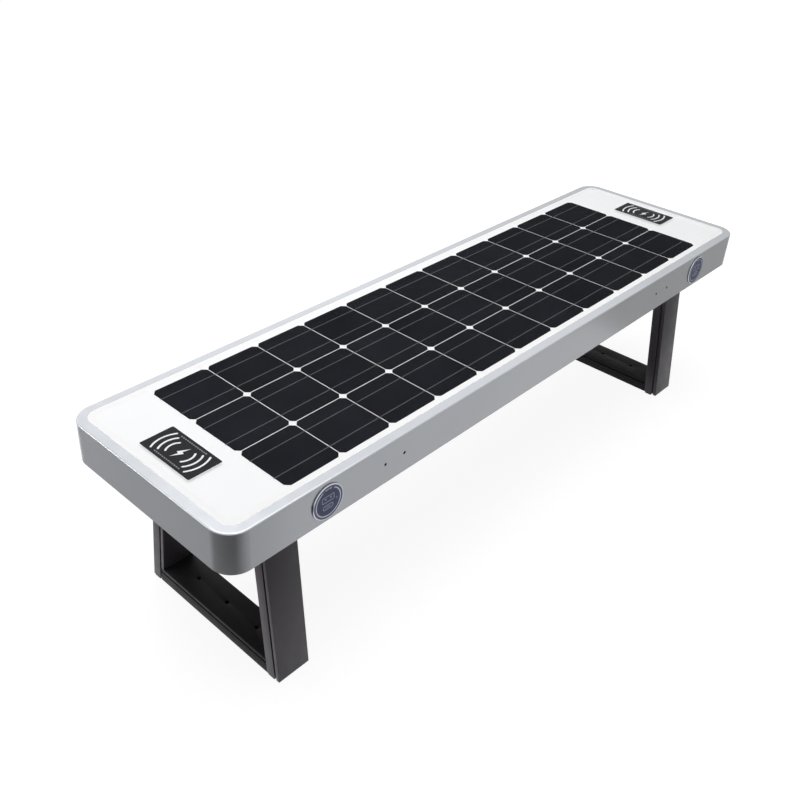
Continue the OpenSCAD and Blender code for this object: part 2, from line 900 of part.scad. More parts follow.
module cap() {
    color([0.3, 0.31, 0.4]) at_port() difference() {
        union() {
            translate([0, 0, port_stand - cap_t]) linear_extrude(cap_t) cap_outline();
            translate([0, hinge_y, hinge_z]) rotate([0, 90, 0])
                cylinder(r = barrel_r, h = 2 * barrel_half, center = true);
        }
        translate([0, hinge_y, hinge_z]) rotate([0, 90, 0])
            cylinder(r = hinge_pin_r + hinge_fit, h = 2 * barrel_half + 2, center = true);
        translate([0, 0, port_stand - dish_depth]) cylinder(r = dish_r, h = port_stand);
    }
}

module hinge_pin() {
    at_port() translate([0, hinge_y, hinge_z]) rotate([0, 90, 0])
        cylinder(r = hinge_pin_r, h = 2 * (barrel_half + lug_gap + lug_w) - 0.4, center = true);
}

// Soft ring that a closed cap rests on, open behind the hinge
module cap_seal() {
    at_port() translate([0, 0, shoulder_z]) difference() {
        ring(cap_r, bore_r, cap_seal_t);
        block(0, cap_head + cap_r / 2, -1, [2 * cap_r, cap_r, cap_seal_t + 2]);
    }
}

module left_bezel() {
    on_side(-1) bezel();
}

module right_bezel() {
    on_side(1) bezel();
}

module left_socket_core() {
    on_side(-1) socket_core();
}

module right_socket_core() {
    on_side(1) socket_core();
}

module left_cap() {
    on_side(-1) cap();
}

module right_cap() {
    on_side(1) cap();
}

module port_gaskets() {
    color([0.05, 0.05, 0.05]) for (side = [-1, 1]) {
        on_side(side) gasket();
    }
}

module port_nuts() {
    color([0.6, 0.6, 0.62]) for (side = [-1, 1]) {
        on_side(side) port_nut();
    }
}

module hinge_pins() {
    color([0.75, 0.75, 0.77]) for (side = [-1, 1]) {
        on_side(side) hinge_pin();
    }
}

module cap_seals() {
    color([0.05, 0.05, 0.05]) for (side = [-1, 1]) {
        on_side(side) cap_seal();
    }
}

// Leg frames. A strip is a slanted layer of an upright, between two depths in from its outer face.

function outer_y(z) = foot_out - lean * (z - pad_h);

// Front layers lie at negative y; the rear ones are their mirror image
module strip(w, t0, t1, z0, z1, rear = false) {
    s = rear ? 1 : -1;
    translate([leg_x - w / 2, 0, 0]) rotate([90, 0, 90]) linear_extrude(w) polygon([
        [s * (outer_y(z0) - t0), z0], [s * (outer_y(z0) - t1), z0],
        [s * (outer_y(z1) - t1), z1], [s * (outer_y(z1) - t0), z1]
    ]);
}

// Hollow layer of full width
module hollow_strip(t0, t1, z0, z1, rear = false) {
    difference() {
        strip(leg_w, t0, t1, z0, z1, rear);
        strip(leg_w - 2 * leg_wall, t0 + leg_wall, t1 - leg_wall, z0 - 1, z1 + 1, rear);
    }
}

leg_color = [0.2, 0.19, 0.2];

// The front upright's cover is on its outer face
module front_upright() {
    color(leg_color) {
        hollow_strip(cap_strip_t + groove_w, leg_t, pad_h, plate_z);
        strip(neck_w, cap_strip_t, cap_strip_t + groove_w, pad_h, plate_z);
    }
}

module front_strip() {
    color(leg_color) hollow_strip(0, cap_strip_t, pad_h, plate_z);
}

// The rear upright's cover is on its inner face and stands on the floor bar
module rear_upright() {
    color(leg_color) {
        hollow_strip(0, body_t, pad_h, plate_z, true);
        strip(neck_w, body_t, body_t + groove_w, pad_h, plate_z, true);
    }
}

module rear_strip() {
    color(leg_color) hollow_strip(body_t + groove_w, leg_t, bar_top, plate_z, true);
}

// Level layer of the floor bar between the two uprights, its ends cut to their lean
module bar_layer(w, z0, z1, wall = 0) {
    front_t = leg_t + wall;
    rear_t = body_t + groove_w + wall;
    translate([leg_x - w / 2, 0, 0]) rotate([90, 0, 90]) linear_extrude(w) polygon([
        [-(outer_y(z0) - front_t), z0], [outer_y(z0) - rear_t, z0],
        [outer_y(z1) - rear_t, z1], [-(outer_y(z1) - front_t), z1]
    ]);
}

module anchor_holes() {
    for (i = [-1:1]) {
        translate([leg_x, i * anchor_pitch, 0]) cylinder(r = anchor_r, h = bar_top + 1);
    }
}

module hollow_bar(z0, z1) {
    difference() {
        bar_layer(leg_w, z0, z1);
        bar_layer(leg_w - 2 * leg_wall, z0 + leg_wall, z1 - leg_wall, leg_wall);
        anchor_holes();
    }
}

module floor_bar() {
    color(leg_color) {
        hollow_bar(pad_h, pad_h + body_t);
        difference() {
            bar_layer(neck_w, pad_h + body_t, pad_h + body_t + groove_w);
            anchor_holes();
        }
    }
}

module bar_strip() {
    color(leg_color) hollow_bar(pad_h + body_t + groove_w, bar_top);
}

// Places of the four bolts that hold a frame to its leg beam
module at_leg_bolts() {
    for (x = [-0.5, 0.5], y = [-0.5, 0.5]) {
        translate([leg_x + x * bolt_pitch_x, y * bolt_pitch_y, 0]) children();
    }
}

module top_plate() {
    color(leg_color) difference() {
        block(leg_x, 0, plate_z, [leg_w, 2 * plate_half, top_plate_t]);
        at_leg_bolts() translate([0, 0, plate_z - 1]) cylinder(r = bolt_r + bolt_gap, h = top_plate_t + 2);
    }
}

module left_front_upright() {
    on_side(-1) front_upright();
}

module right_front_upright() {
    on_side(1) front_upright();
}

module left_rear_upright() {
    on_side(-1) rear_upright();
}

module right_rear_upright() {
    on_side(1) rear_upright();
}

module left_floor_bar() {
    on_side(-1) floor_bar();
}

module right_floor_bar() {
    on_side(1) floor_bar();
}

module left_front_strip() {
    on_side(-1) front_strip();
}

module right_front_strip() {
    on_side(1) front_strip();
}

module left_rear_strip() {
    on_side(-1) rear_strip();
}

module right_rear_strip() {
    on_side(1) rear_strip();
}

module left_bar_strip() {
    on_side(-1) bar_strip();
}

module right_bar_strip() {
    on_side(1) bar_strip();
}

module left_top_plate() {
    on_side(-1) top_plate();
}

module right_top_plate() {
    on_side(1) top_plate();
}

module leg_bolts() {
    shank = top_plate_t + cover_t + beam_t + bolt_nut_h;
    color([0.55, 0.55, 0.57]) for (side = [-1, 1]) {
        on_side(side) at_leg_bolts() {
            translate([0, 0, plate_z]) cylinder(r = bolt_r, h = shank + 1);
            translate([0, 0, plate_z - bolt_head_h]) difference() {
                cylinder(r = bolt_head_r, h = bolt_head_h);
                translate([0, 0, -1]) cylinder(r = bolt_r * 0.9, h = 1 + bolt_head_h / 2, $fn = 6);
            }
        }
    }
}

module leg_nuts() {
    color([0.6, 0.6, 0.62]) for (side = [-1, 1]) {
        on_side(side) at_leg_bolts() translate([0, 0, seat_foot + beam_t]) difference() {
            cylinder(r = bolt_nut_r, h = bolt_nut_h, $fn = 6);
            translate([0, 0, -1]) cylinder(r = bolt_r + 0.1, h = bolt_nut_h + 2);
        }
    }
}

// A pad under the hollow body of each upright, with a plug up inside it
module foot_pads() {
    front_y = outer_y(pad_h) - cap_strip_t - groove_w - body_t / 2;
    rear_y = outer_y(pad_h) - body_t / 2;
    plug_w = leg_w - 2 * (leg_wall + plug_gap);
    plug_depth = body_t - 2 * (leg_wall + plug_gap) - lean * plug_h;
    plug_back = lean * plug_h / 2;
    color([0.06, 0.06, 0.06]) for (side = [-1, 1]) {
        on_side(side) {
            block(leg_x, -front_y, 0, [leg_w - 2, pad_depth, pad_h]);
            block(leg_x, -front_y + plug_back, 0, [plug_w, plug_depth, pad_h + plug_h]);
            block(leg_x, rear_y, 0, [leg_w - 2, pad_depth, pad_h]);
            block(leg_x, rear_y - plug_back, 0, [plug_w, plug_depth, pad_h + plug_h]);
        }
    }
}

seat_shell();
glass_sheet();
solar_cells();
cell_ribbons();
backsheet();
panel_seal();
deck_board();
left_leg_beam();
right_leg_beam();
left_support_beam();
right_support_beam();
centre_beam();
side_inserts();
bottom_cover();
cover_screws();
junction_box();
battery();
battery_strap();
charge_controller();
power_converter();
wiring_loom();
loom_grommets();
left_label();
right_label();
left_tray();
right_tray();
left_coil();
right_coil();
left_board();
right_board();
left_bezel();
right_bezel();
port_gaskets();
port_nuts();
left_socket_core();
right_socket_core();
left_cap();
right_cap();
hinge_pins();
cap_seals();
left_front_upright();
right_front_upright();
left_rear_upright();
right_rear_upright();
left_floor_bar();
right_floor_bar();
left_front_strip();
right_front_strip();
left_rear_strip();
right_rear_strip();
left_bar_strip();
right_bar_strip();
left_top_plate();
right_top_plate();
leg_bolts();
leg_nuts();
foot_pads();
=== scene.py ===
"""Looks of the solar charging bench: materials, printed graphics, softened edges, lights and camera."""
import math

import bmesh
import bpy
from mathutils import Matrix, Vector


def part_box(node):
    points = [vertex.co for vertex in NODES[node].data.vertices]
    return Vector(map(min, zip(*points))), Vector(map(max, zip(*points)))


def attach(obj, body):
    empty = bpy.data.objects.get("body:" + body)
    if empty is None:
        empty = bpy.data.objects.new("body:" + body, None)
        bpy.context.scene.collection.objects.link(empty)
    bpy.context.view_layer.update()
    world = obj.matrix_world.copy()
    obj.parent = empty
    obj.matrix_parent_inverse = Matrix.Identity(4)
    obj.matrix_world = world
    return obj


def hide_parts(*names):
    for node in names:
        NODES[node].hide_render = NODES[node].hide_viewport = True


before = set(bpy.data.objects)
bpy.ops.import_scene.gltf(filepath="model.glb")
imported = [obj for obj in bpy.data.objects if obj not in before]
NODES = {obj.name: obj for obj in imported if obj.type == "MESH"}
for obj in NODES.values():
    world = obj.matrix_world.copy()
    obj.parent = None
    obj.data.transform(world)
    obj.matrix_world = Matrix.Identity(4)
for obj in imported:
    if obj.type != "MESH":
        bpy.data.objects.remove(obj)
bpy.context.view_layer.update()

WHITE = (1, 1, 1, 1)

# Places in metres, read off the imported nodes
SHELL_LO, SHELL_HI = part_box("seat_shell")
GLASS_LO, GLASS_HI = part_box("glass_sheet")
CELL_LO, CELL_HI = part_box("solar_cells")
BEZEL_LO, BEZEL_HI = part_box("right_bezel")
MID_Y = (SHELL_LO.y + SHELL_HI.y) / 2
PORT_X = (BEZEL_LO.x + BEZEL_HI.x) / 2
PORT_Z = (BEZEL_LO.z + BEZEL_HI.z) / 2
FACE_Y = BEZEL_LO.y

# Solar cells: the grid, the filler in its gaps and the fine fingers printed on each wafer
COLUMNS, ROWS = 11, 3
CELL_PITCH = 0.1265
FILLER_HALF = 0.0011
FILLER_INSET = 0.008
DROP_ACROSS, DROP_ALONG = 0.00012, 0.00009
FINGER_PITCH = 0.0016
FINGER_SHARE = 0.07

# Edge of the panel: the bead of sealant in the gap, and the border printed on the glass
GLASS_CORNER = 0.0237
PANEL_GAP = 0.0008
HAIR = 0.00002
BEAD_TOP, BEAD_FOOT = SHELL_HI.z - 0.0003, SHELL_HI.z - 0.0032
BEAD_SAG = 0.0003
BORDER_WIDTH = 0.012
BORDER_LOW, BORDER_HIGH = GLASS_HI.z - 0.00004, GLASS_HI.z + 0.00005

# Label of a charging spot: how deep its print lies, apex, chord and sag of each arc, bolt and dashes
LABEL_CORNER = 0.003
PRINT_BOTTOM, PRINT_TOP = 0.00008, 0.00001
LABEL_ARCS = ((0.0545, 0.055, 0.0077), (0.041, 0.0425, 0.0065), (0.027, 0.0305, 0.0053))
LABEL_STROKE = 0.0038
LABEL_BOLT = {"cx": -0.001, "cy": -0.001, "size": 0.038}
DASH_ROW, DASH_STEP, DASHES_EACH_WAY = 0.0285, 0.0056, 6
DASH = {"w": 0.0024, "h": 0.0034, "r": 0.0006, "steps": 3}

# Charging port: radii where the finish of bezel and cap changes, the cap's disc, and its printed marks
BEZEL_EDGE, CAP_EDGE = 0.0329, 0.0272
DISH = 0.0004
DISC_RADIUS, DISC_SIDES = 0.0248, 72
DISC_TOP, DISC_PRINT_TOP = 0.00022, 0.00034
WIDE_MARK = {"cx": -0.0005, "cy": 0.0075, "w": 0.027, "h": 0.0115, "r": 0.002, "stroke": 0.0019}
WIDE_CONTACT = {"cy": 0.0085, "w": 0.0045, "h": 0.0035, "r": 0.0006}
WIDE_CONTACTS_X = (-0.0065, 0.0055)
SMALL_MARK = {"cx": -0.0005, "cy": -0.0095, "w": 0.0225, "h": 0.0086, "r": 0.004, "stroke": 0.002}
SMALL_TONGUE = {"cx": -0.0005, "cy": -0.0095, "w": 0.0125, "h": 0.0018, "r": 0.0008}
DISC_BOLT = [(0.0196, 0.004), (0.0172, -0.001), (0.0188, -0.001), (0.0184, -0.0045), (0.0208, 0.0005),
             (0.0192, 0.0005)]

# Eased edges of the leg frames and of the foot pads
FRAME_EASE, PAD_EASE = 0.0005, 0.0008
BEVEL_FROM, SHARP_FROM = math.radians(32), math.radians(38)

# Floor, the cards round the near corner, and the fill light
FLOOR_HALF = 14
GLOW_NEAR, GLOW_FAR = 0.91, 1.0
GLOW_RISE_FROM, GLOW_RISE_TO = 1.3, 2.8
FAN_X, FAN_Y = -0.83, -0.2
FAN_INNER, FAN_OUTER = 0.3, 1.5
FAN_STEP = 4
CARD_Z = 0.002
AMBIENT = 0.07

# Camera recovered from the photograph
CAMERA_PLACE = (-1.4848, -1.0802, 1.4310)
CAMERA_TURN = (58.538, -1.693, -45.616)
CAMERA_LENS, CAMERA_SENSOR = 42.27, 36
CAMERA_SHIFT = (0.0526, -0.0583)


# Nodes of a material

def node(nt, kind, **values):
    """A new node; each value sets the property or the input of its name."""
    n = nt.nodes.new(kind)
    for key, value in values.items():
        if hasattr(n, key):
            setattr(n, key, value)
        else:
            n.inputs[key.replace("_", " ")].default_value = value
    return n


def calc(nt, op, a, b=None):
    """One step of arithmetic on numbers or sockets."""
    n = node(nt, "ShaderNodeMath", operation=op)
    for i, v in enumerate((a, b)):
        if v is None:
            continue
        if isinstance(v, (int, float)):
            n.inputs[i].default_value = v
        else:
            nt.links.new(v, n.inputs[i])
    return n.outputs[0]


def object_xyz(nt):
    """The place on the surface as three separate sockets."""
    xyz = node(nt, "ShaderNodeSeparateXYZ")
    nt.links.new(node(nt, "ShaderNodeTexCoord").outputs["Object"], xyz.inputs[0])
    return xyz.outputs


def object_coords(nt, scale=(1, 1, 1)):
    t = node(nt, "ShaderNodeTexCoord")
    m = node(nt, "ShaderNodeMapping", Scale=scale)
    nt.links.new(t.outputs["Object"], m.inputs["Vector"])
    return m.outputs["Vector"]


def noise(nt, scale, detail=2.0, stretch=(1, 1, 1)):
    n = node(nt, "ShaderNodeTexNoise", Scale=scale, Detail=detail)
    nt.links.new(object_coords(nt, stretch), n.inputs["Vector"])
    return n.outputs["Fac"]


def map_range(nt, value, from_lo, from_hi, to_lo, to_hi):
    n = node(nt, "ShaderNodeMapRange", From_Min=from_lo, From_Max=from_hi, To_Min=to_lo, To_Max=to_hi)
    nt.links.new(value, n.inputs["Value"])
    return n.outputs["Result"]


def remap(nt, value, lo, hi):
    """The middle part of a noise, spread from lo to hi."""
    return map_range(nt, value, 0.3, 0.7, lo, hi)


def step(nt, outside, value_in, value_out):
    """One value where outside is 0, and another where it is 1."""
    return calc(nt, "ADD", calc(nt, "MULTIPLY", outside, value_out - value_in), value_in)


def blend_color(nt, fac, a, b):
    """From colour a to colour b, each a tuple or a socket."""
    n = node(nt, "ShaderNodeMix", data_type="RGBA")
    nt.links.new(fac, n.inputs[0])
    for i, c in ((6, a), (7, b)):
        if isinstance(c, tuple):
            n.inputs[i].default_value = (*c, 1)
        else:
            nt.links.new(c, n.inputs[i])
    return n.outputs[2]


def vary(nt, p, color, amount, scale, stretch=(1, 1, 1)):
    """Slow change of shade over the surface."""
    lo = tuple(c * (1 - amount) for c in color)
    hi = tuple(min(1.0, c * (1 + amount)) for c in color)
    fac = remap(nt, noise(nt, scale, 3.0, stretch), 0.0, 1.0)
    nt.links.new(blend_color(nt, fac, lo, hi), p.inputs["Base Color"])


def rough_vary(nt, p, lo, hi, scale, stretch=(1, 1, 1)):
    """Uneven gloss over the surface."""
    nt.links.new(remap(nt, noise(nt, scale, 3.0, stretch), lo, hi), p.inputs["Roughness"])


def bump(nt, p, height, strength, distance=0.0002):
    n = node(nt, "ShaderNodeBump", Strength=strength, Distance=distance)
    nt.links.new(height, n.inputs["Height"])
    nt.links.new(n.outputs["Normal"], p.inputs["Normal"])


# Materials

def material(name, color, rough, metallic=0.0, coat=0.0, spec=0.5):
    m = bpy.data.materials.new(name)
    m.use_nodes = True
    nt = m.node_tree
    p = nt.nodes["Principled BSDF"]
    p.inputs["Base Color"].default_value = (*color, 1)
    p.inputs["Roughness"].default_value = rough
    p.inputs["Metallic"].default_value = metallic
    p.inputs["Coat Weight"].default_value = coat
    p.inputs["Coat Roughness"].default_value = 0.1
    p.inputs["Specular IOR Level"].default_value = spec
    return m, nt, p


def bare_material(name):
    """A material that has no shader yet."""
    m = bpy.data.materials.new(name)
    m.use_nodes = True
    m.node_tree.nodes.remove(m.node_tree.nodes["Principled BSDF"])
    return m, m.node_tree


def show(nt, shader):
    nt.links.new(shader.outputs[0], nt.nodes["Material Output"].inputs["Surface"])


def painted(name, color, rough, metallic, grain, grain_strength, spread=0.04, spec=0.5):
    """Sprayed paint or powder coat: a fine grain, a slow change of shade and uneven gloss."""
    m, nt, p = material(name, color, rough, metallic, spec=spec)
    vary(nt, p, color, spread, 5.0)
    rough_vary(nt, p, rough * 0.88, rough * 1.12, 40.0)
    bump(nt, p, noise(nt, grain), grain_strength)
    return m


def moulded(name, color, rough, grain=2200.0, strength=0.12, spec=0.5):
    """Plastic or rubber with a fine grain."""
    m, nt, p = material(name, color, rough, spec=spec)
    vary(nt, p, color, 0.06, 30.0)
    rough_vary(nt, p, rough * 0.85, rough * 1.15, 120.0)
    bump(nt, p, noise(nt, grain), strength)
    return m


def plated(name, color, rough, stretch=(1, 1, 1)):
    """Zinc or brushed metal with a light grain."""
    m, nt, p = material(name, color, rough, metallic=1.0)
    vary(nt, p, color, 0.1, 90.0, stretch)
    rough_vary(nt, p, rough * 0.75, rough * 1.3, 160.0, stretch)
    bump(nt, p, noise(nt, 700.0, stretch=stretch), 0.1)
    return m


def sheet_white(name, color):
    """Matt white, of the backsheet and of the border printed on the glass."""
    m, nt, p = material(name, color, 0.6, spec=0.05)
    vary(nt, p, color, 0.01, 9.0)
    rough_vary(nt, p, 0.52, 0.68, 60.0)
    bump(nt, p, noise(nt, 1200.0), 0.03)
    return m


def circuit_material():
    """Green board with a pattern of lighter tracks."""
    green, track = (0.02, 0.14, 0.06), (0.04, 0.24, 0.1)
    m, nt, p = material("circuit_green", green, 0.35, coat=0.3)
    n = node(nt, "ShaderNodeTexVoronoi", Scale=260.0)
    nt.links.new(object_coords(nt), n.inputs["Vector"])
    fac = calc(nt, "GREATER_THAN", n.outputs["Distance"], 0.52)
    nt.links.new(blend_color(nt, fac, green, track), p.inputs["Base Color"])
    rough_vary(nt, p, 0.28, 0.42, 90.0)
    bump(nt, p, n.outputs["Distance"], 0.1)
    return m


def plywood():
    """Pale wood with its grain along the seat."""
    color = (0.5, 0.36, 0.2)
    m, nt, p = material("plywood", color, 0.6)
    vary(nt, p, color, 0.25, 14.0, (0.15, 3, 8))
    rough_vary(nt, p, 0.52, 0.7, 30.0, (0.15, 6, 6))
    bump(nt, p, noise(nt, 60.0, 4.0, (0.15, 6, 6)), 0.2, 0.0005)
    return m


def cell_index(nt, place):
    """Number of a wafer's column or row, counted from the middle of the panel."""
    return calc(nt, "FLOOR", calc(nt, "ADD", calc(nt, "DIVIDE", place, CELL_PITCH), 0.5))


def cell_material():
    """Dark silicon: each wafer has its own faint shade, and fine fingers run across it."""
    dark, light, silver = (0.0128, 0.0134, 0.0165), (0.0195, 0.0203, 0.025), (0.16, 0.165, 0.18)
    own_shade, finger_tint = 0.55, 0.08
    m, nt, p = material("cell_silicon", (0.02, 0.0205, 0.025), 0.5, spec=0.0)
    xyz = object_xyz(nt)
    # two unlike factors give each wafer a number of its own
    cell_no = calc(nt, "ADD", calc(nt, "MULTIPLY", cell_index(nt, xyz["X"]), 7.31),
                   calc(nt, "MULTIPLY", cell_index(nt, xyz["Y"]), 3.17))
    wafer = node(nt, "ShaderNodeTexWhiteNoise", noise_dimensions="1D")
    nt.links.new(cell_no, wafer.inputs["W"])
    cloud = remap(nt, noise(nt, 11.0), 0.0, 1.0)
    tone = calc(nt, "ADD", calc(nt, "MULTIPLY", wafer.outputs["Value"], own_shade),
                calc(nt, "MULTIPLY", cloud, 1 - own_shade))
    base = blend_color(nt, tone, dark, light)
    turn = calc(nt, "FRACT", calc(nt, "DIVIDE", xyz["X"], FINGER_PITCH))
    finger = calc(nt, "LESS_THAN", turn, FINGER_SHARE)
    color = blend_color(nt, calc(nt, "MULTIPLY", finger, finger_tint), base, silver)
    nt.links.new(color, p.inputs["Base Color"])
    rough_vary(nt, p, 0.44, 0.56, 60.0)
    bump(nt, p, finger, 0.1, 0.00002)
    return m


def ribbon_material():
    color = (0.13, 0.13, 0.137)
    m, nt, p = material("ribbon_tin", color, 0.42, spec=0.0)
    vary(nt, p, color, 0.12, 50.0)
    rough_vary(nt, p, 0.36, 0.48, 120.0)
    bump(nt, p, noise(nt, 900.0), 0.1)
    return m


def glass_material():
    """Anti-glare panel glass: clear, with only a faint reflection on its outer side."""
    m, nt = bare_material("panel_glass")
    clear = node(nt, "ShaderNodeBsdfTransparent", Color=(0.997, 0.998, 0.999, 1))
    gloss = node(nt, "ShaderNodeBsdfGlossy", Color=WHITE)
    rim = node(nt, "ShaderNodeFresnel", IOR=1.015)
    side = node(nt, "ShaderNodeNewGeometry")
    fac = calc(nt, "MULTIPLY", rim.outputs["Fac"], calc(nt, "SUBTRACT", 1.0, side.outputs["Backfacing"]))
    grain = noise(nt, 3.0, 3.0)
    nt.links.new(remap(nt, grain, 0.03, 0.07), gloss.inputs["Roughness"])
    bump(nt, gloss, grain, 0.05)
    mix = node(nt, "ShaderNodeMixShader")
    for i, socket in enumerate((fac, clear.outputs[0], gloss.outputs[0])):
        nt.links.new(socket, mix.inputs[i])
    show(nt, mix)
    return m


def port_radius(nt):
    """Distance from a port's axis, the same for both ports."""
    xyz = object_xyz(nt)
    dx = calc(nt, "SUBTRACT", calc(nt, "ABSOLUTE", xyz["X"]), PORT_X)
    dz = calc(nt, "SUBTRACT", xyz["Z"], PORT_Z)
    return calc(nt, "SQRT", calc(nt, "ADD", calc(nt, "MULTIPLY", dx, dx), calc(nt, "MULTIPLY", dz, dz)))


def turned(name, inner, outer, edge, rough_in, rough_out, metal_in, metal_out):
    """A turned face: one finish inside the radius edge and another outside it, with fine lathe rings."""
    m, nt, p = material(name, outer, rough_out, metal_out)
    r = port_radius(nt)
    out = calc(nt, "GREATER_THAN", r, edge)
    rings = node(nt, "ShaderNodeTexNoise", noise_dimensions="1D", Scale=1.0, Detail=2.0)
    nt.links.new(calc(nt, "MULTIPLY", r, 2600.0), rings.inputs["W"])
    mul = node(nt, "ShaderNodeMix", data_type="RGBA", blend_type="MULTIPLY")
    mul.inputs[0].default_value = 1.0
    nt.links.new(blend_color(nt, out, inner, outer), mul.inputs[6])
    nt.links.new(remap(nt, rings.outputs["Fac"], 0.86, 1.0), mul.inputs[7])
    nt.links.new(mul.outputs[2], p.inputs["Base Color"])
    nt.links.new(step(nt, out, rough_in, rough_out), p.inputs["Roughness"])
    if metal_in != metal_out:
        nt.links.new(step(nt, out, metal_in, metal_out), p.inputs["Metallic"])
    bump(nt, p, rings.outputs["Fac"], 0.05)
    return m


SHELL_PAINT = painted("shell_paint", (0.615, 0.638, 0.672), 0.24, 0.34, 2600.0, 0.012, 0.02)
FRAME_COAT = painted("frame_coat", (0.079, 0.07, 0.083), 0.42, 0.0, 2400.0, 0.1, 0.06, 0.3)
# the floor bars take a darker, less glossy copy of the frame's coat: painted shade for the seat's shadow over
# them
SHADED_BAR_COAT = painted("bar_coat_painted_shade", (0.033, 0.0315, 0.035), 0.5, 0.0, 2400.0, 0.1, 0.08, 0.1)
COVER_PAINT = painted("cover_paint", (0.42, 0.43, 0.45), 0.5, 0.1, 900.0, 0.1)
RUBBER = moulded("rubber", (0.018, 0.018, 0.019), 0.75, 1500.0, 0.2)
BLACK_CASE = moulded("black_case", (0.02, 0.02, 0.021), 0.5)
BATTERY_CASE = moulded("battery_case", (0.06, 0.09, 0.17), 0.4)
CONTROLLER_CASE = plated("controller_case", (0.2, 0.32, 0.5), 0.35, (1, 6, 1))
WHITE_TRAY = moulded("white_tray", (0.82, 0.82, 0.81), 0.5)
CORE_PLASTIC = moulded("core_plastic", (0.012, 0.012, 0.014), 0.45)
INSERT_BLACK = moulded("insert_black", (0.03, 0.03, 0.032), 0.4)
ZINC = plated("zinc", (0.6, 0.61, 0.63), 0.36)
COPPER = plated("copper_coil", (0.75, 0.38, 0.22), 0.3)
PIN_STEEL = plated("pin_steel", (0.7, 0.71, 0.73), 0.22)
BACKSHEET_WHITE = sheet_white("backsheet_white", (0.955, 0.955, 0.96))
BORDER_WHITE = sheet_white("border_white", (0.935, 0.935, 0.94))
SEALANT_WHITE = moulded("sealant_white", (0.8, 0.81, 0.83), 0.4, 900.0, 0.1)
LABEL_DARK = moulded("label_dark", (0.021, 0.021, 0.025), 0.5, 1800.0, 0.04, spec=0.05)
PRINT_WHITE = moulded("print_white", (0.82, 0.83, 0.84), 0.5, 1800.0, 0.05)
PRINT_GREY = moulded("print_grey", (0.24, 0.24, 0.25), 0.5, 1800.0, 0.05)
SLATE = moulded("disc_slate", (0.145, 0.175, 0.34), 0.4, 2600.0, 0.06, spec=0.2)
SLATE_PRINT = moulded("disc_print", (0.66, 0.72, 0.92), 0.45, 2600.0, 0.05)
BEZEL_METAL = turned("bezel_metal", (0.095, 0.1, 0.15), (0.56, 0.58, 0.65), BEZEL_EDGE, 0.4, 0.26, 1.0, 1.0)
CAP_FACE = turned("cap_face", (0.14, 0.165, 0.3), (0.46, 0.47, 0.58), CAP_EDGE, 0.42, 0.28, 0.0, 1.0)

FINISHES = {
    SHELL_PAINT: ["seat_shell"],
    FRAME_COAT: [n for n in NODES if n.endswith(("upright", "front_strip", "rear_strip", "top_plate"))],
    SHADED_BAR_COAT: [n for n in NODES if n.endswith(("floor_bar", "bar_strip"))],
    COVER_PAINT: ["bottom_cover"],
    RUBBER: ["foot_pads", "panel_seal", "port_gaskets", "cap_seals", "loom_grommets"],
    BLACK_CASE: ["junction_box", "power_converter", "wiring_loom"],
    BATTERY_CASE: ["battery"],
    CONTROLLER_CASE: ["charge_controller"],
    WHITE_TRAY: ["left_tray", "right_tray"],
    CORE_PLASTIC: ["left_socket_core", "right_socket_core"],
    INSERT_BLACK: ["side_inserts"],
    ZINC: ["left_leg_beam", "right_leg_beam", "left_support_beam", "right_support_beam", "centre_beam",
           "battery_strap", "cover_screws", "leg_bolts", "leg_nuts", "port_nuts"],
    COPPER: ["left_coil", "right_coil"],
    PIN_STEEL: ["hinge_pins"],
    circuit_material(): ["left_board", "right_board"],
    plywood(): ["deck_board"],
    BACKSHEET_WHITE: ["backsheet"],
    cell_material(): ["solar_cells"],
    ribbon_material(): ["cell_ribbons"],
    glass_material(): ["glass_sheet"],
    BEZEL_METAL: ["left_bezel", "right_bezel"],
    CAP_FACE: ["left_cap", "right_cap"],
}
for finish, names in FINISHES.items():
    for n in names:
        NODES[n].data.materials.clear()
        NODES[n].data.materials.append(finish)


# Meshes and objects

def add_object(name, data):
    """An object in the scene that holds a mesh, a lamp or the camera."""
    o = bpy.data.objects.new(name, data)
    bpy.context.scene.collection.objects.link(o)
    return o


def finished_mesh(name, bm, mat):
    """The mesh that a bmesh holds, in one material."""
    me = bpy.data.meshes.new(name)
    bm.to_mesh(me)
    bm.free()
    me.materials.append(mat)
    return me


# Softened copies of the CAD nodes

def soften(name, width, body="bench"):
    """A copy of a CAD node with small rounded edges stands in for it."""
    src = NODES[name]
    bm = bmesh.new()
    bm.from_mesh(src.data)
    bmesh.ops.remove_doubles(bm, verts=bm.verts, dist=1e-6)
    bmesh.ops.dissolve_limit(bm, angle_limit=math.radians(1), verts=bm.verts, edges=bm.edges)
    sharp = [e for e in bm.edges if e.is_manifold and e.calc_face_angle(0) > BEVEL_FROM]
    bmesh.ops.bevel(bm, geom=sharp, offset=width, segments=2, profile=0.6, affect="EDGES",
                    clamp_overlap=True, harden_normals=False)
    bmesh.ops.triangulate(bm, faces=[f for f in bm.faces if len(f.verts) > 4])
    me = finished_mesh(name + "_soft", bm, src.data.materials[0])
    for poly in me.polygons:
        poly.use_smooth = True
    me.set_sharp_from_angle(angle=SHARP_FROM)
    o = add_object(name + "_soft", me)
    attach(o, body)
    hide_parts(name)


for side in ("left", "right"):
    for part in ("front_upright", "rear_upright", "floor_bar", "front_strip", "rear_strip", "bar_strip",
                 "top_plate"):
        soften(f"{side}_{part}", FRAME_EASE)
soften("foot_pads", PAD_EASE)


# Outlines of printed graphics

def arc(cx, cy, radius, a0, a1, steps):
    """Points along an arc, with both of its ends."""
    angles = [a0 + (a1 - a0) * i / steps for i in range(steps + 1)]
    return [(cx + radius * math.cos(a), cy + radius * math.sin(a)) for a in angles]


def pen_end(cx, cy, radius, a, half, turn):
    """The round end of a pen stroke at angle a of an arc, without its first and last point."""
    start = a + turn
    return arc(cx + radius * math.cos(a), cy + radius * math.sin(a), half, start, start + math.pi, 8)[1:-1]


